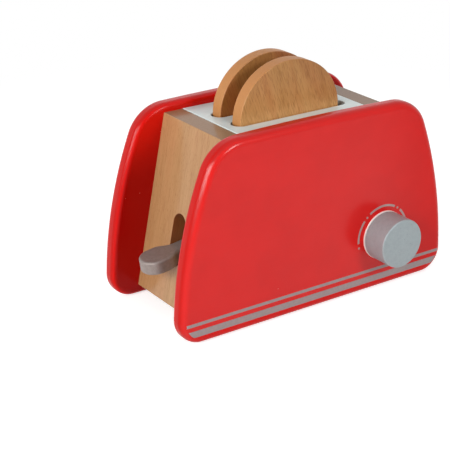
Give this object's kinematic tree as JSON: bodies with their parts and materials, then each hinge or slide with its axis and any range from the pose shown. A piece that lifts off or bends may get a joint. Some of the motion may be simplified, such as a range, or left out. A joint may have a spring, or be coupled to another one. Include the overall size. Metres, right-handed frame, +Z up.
{
  "type": "toy toaster",
  "caption": "Painted wooden toy toaster: a case between rounded side panels, a see-saw lever that lifts removable slices on a tray, and a turning knob.",
  "frame": {"origin": "on the surface the toaster stands on, under the middle of its bounding box", "axes": "+X along the length, away from the lever; -Y towards the side with the knob; +Z up"},
  "size_m": [0.19, 0.1024, 0.1418],
  "materials": {
    "red_paint": "painted, semi-gloss",
    "clear_beech": "clear lacquer, satin",
    "white_paint": "painted, satin",
    "plain_beech": "bare, sanded",
    "steel": "zinc plated",
    "silver_paint": "painted silver, satin",
    "toast_beech": "clear lacquer, satin",
    "cream_plastic": "matt"
  },
  "bodies": {
    "case": {"front_panel": "red_paint", "back_panel": "red_paint", "left_end_board": "clear_beech", "right_end_board": "clear_beech", "top_plate": "white_paint", "top_cleat_left": "plain_beech", "top_cleat_right": "plain_beech", "base_board": "plain_beech", "base_cleat_left": "plain_beech", "base_cleat_right": "plain_beech", "base_screws": "steel", "panel_dowels_front": "plain_beech", "panel_dowels_back": "plain_beech", "guide_rod_front": "plain_beech", "guide_rod_back": "plain_beech", "lever_pivot_rod": "steel", "lever_spacer_front": "plain_beech", "lever_spacer_back": "plain_beech", "knob_washer": "cream_plastic"},
    "lever": {"lever": "silver_paint", "lift_bar": "plain_beech"},
    "tray": {"lift_tray": "plain_beech"},
    "front_slice": {"toast_slice_front": "toast_beech"},
    "back_slice": {"toast_slice_back": "toast_beech"},
    "knob": {"knob": "silver_paint", "knob_axle": "plain_beech", "knob_retainer": "plain_beech"}
  },
  "joints": [
    {"name": "lever_press", "type": "hinge", "parent": "case", "child": "lever", "pos_m": [-0.03598, 0.00865, 0.0426], "axis": [0, 1, 0], "range_deg": [0, 26]},
    {"name": "tray_lift", "type": "slide", "parent": "case", "child": "tray", "axis": [0, 0, 1], "range_m": [-0.021, 0]},
    {"name": "front_slice_pull", "type": "slide", "parent": "tray", "child": "front_slice", "axis": [0, 0, 1], "range_m": [0, 0.06]},
    {"name": "back_slice_pull", "type": "slide", "parent": "tray", "child": "back_slice", "axis": [0, 0, 1], "range_m": [0, 0.06]},
    {"name": "knob_turn", "type": "hinge", "parent": "case", "child": "knob", "pos_m": [0.0465, -0.03395, 0.0341], "axis": [0, -1, 0], "continuous": true}
  ],
  "couplings": [
    {"joint": "tray_lift", "follows": "lever_press", "m_per_rad": -0.046}
  ]
}
